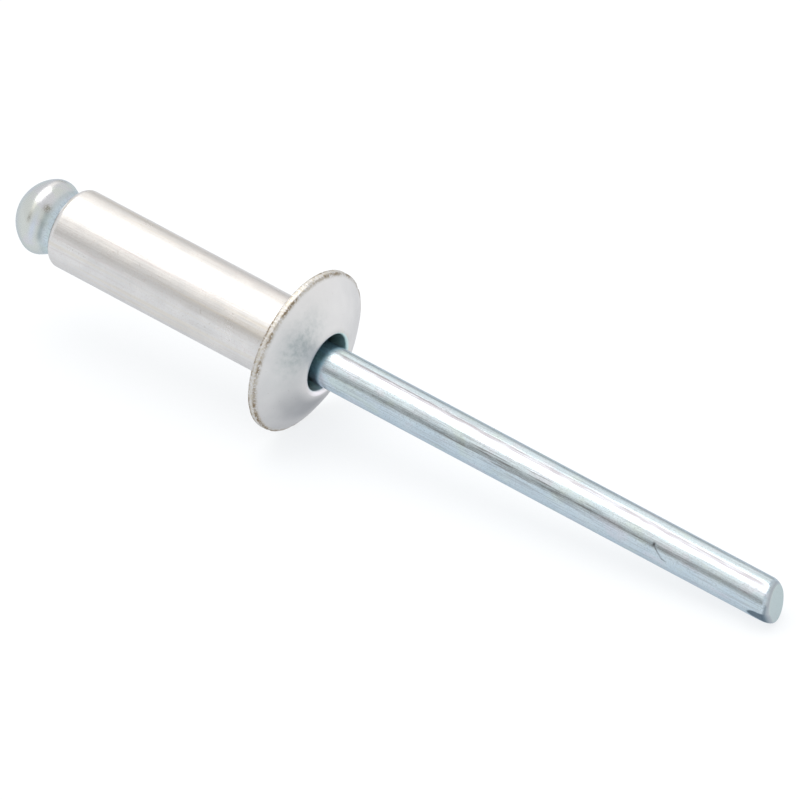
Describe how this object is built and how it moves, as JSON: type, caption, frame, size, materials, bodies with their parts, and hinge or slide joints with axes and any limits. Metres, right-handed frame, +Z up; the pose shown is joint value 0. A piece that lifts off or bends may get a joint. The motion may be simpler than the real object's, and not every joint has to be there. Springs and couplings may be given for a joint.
{
  "type": "blind rivet",
  "caption": "Open-end dome-head blind rivet, unset: a hollow aluminium body on a zinc-plated steel mandrel with a button head; fastens sheets from one side.",
  "frame": {"origin": "on the floor, under the middle of the lying rivet's box", "axes": "+X along the rivet as it lies, from the mandrel's head to its tip; +Z up. The rivet rests on the flange's rim and the mandrel's tip, so its own axis falls 6.06 degrees towards +X"},
  "size_m": [0.0534, 0.0098, 0.0098],
  "materials": {
    "body_aluminium": "satin",
    "mandrel_steel": "bright zinc plate"
  },
  "bodies": {
    "root": {"rivet_body": "body_aluminium", "mandrel": "mandrel_steel"}
  },
  "joints": []
}
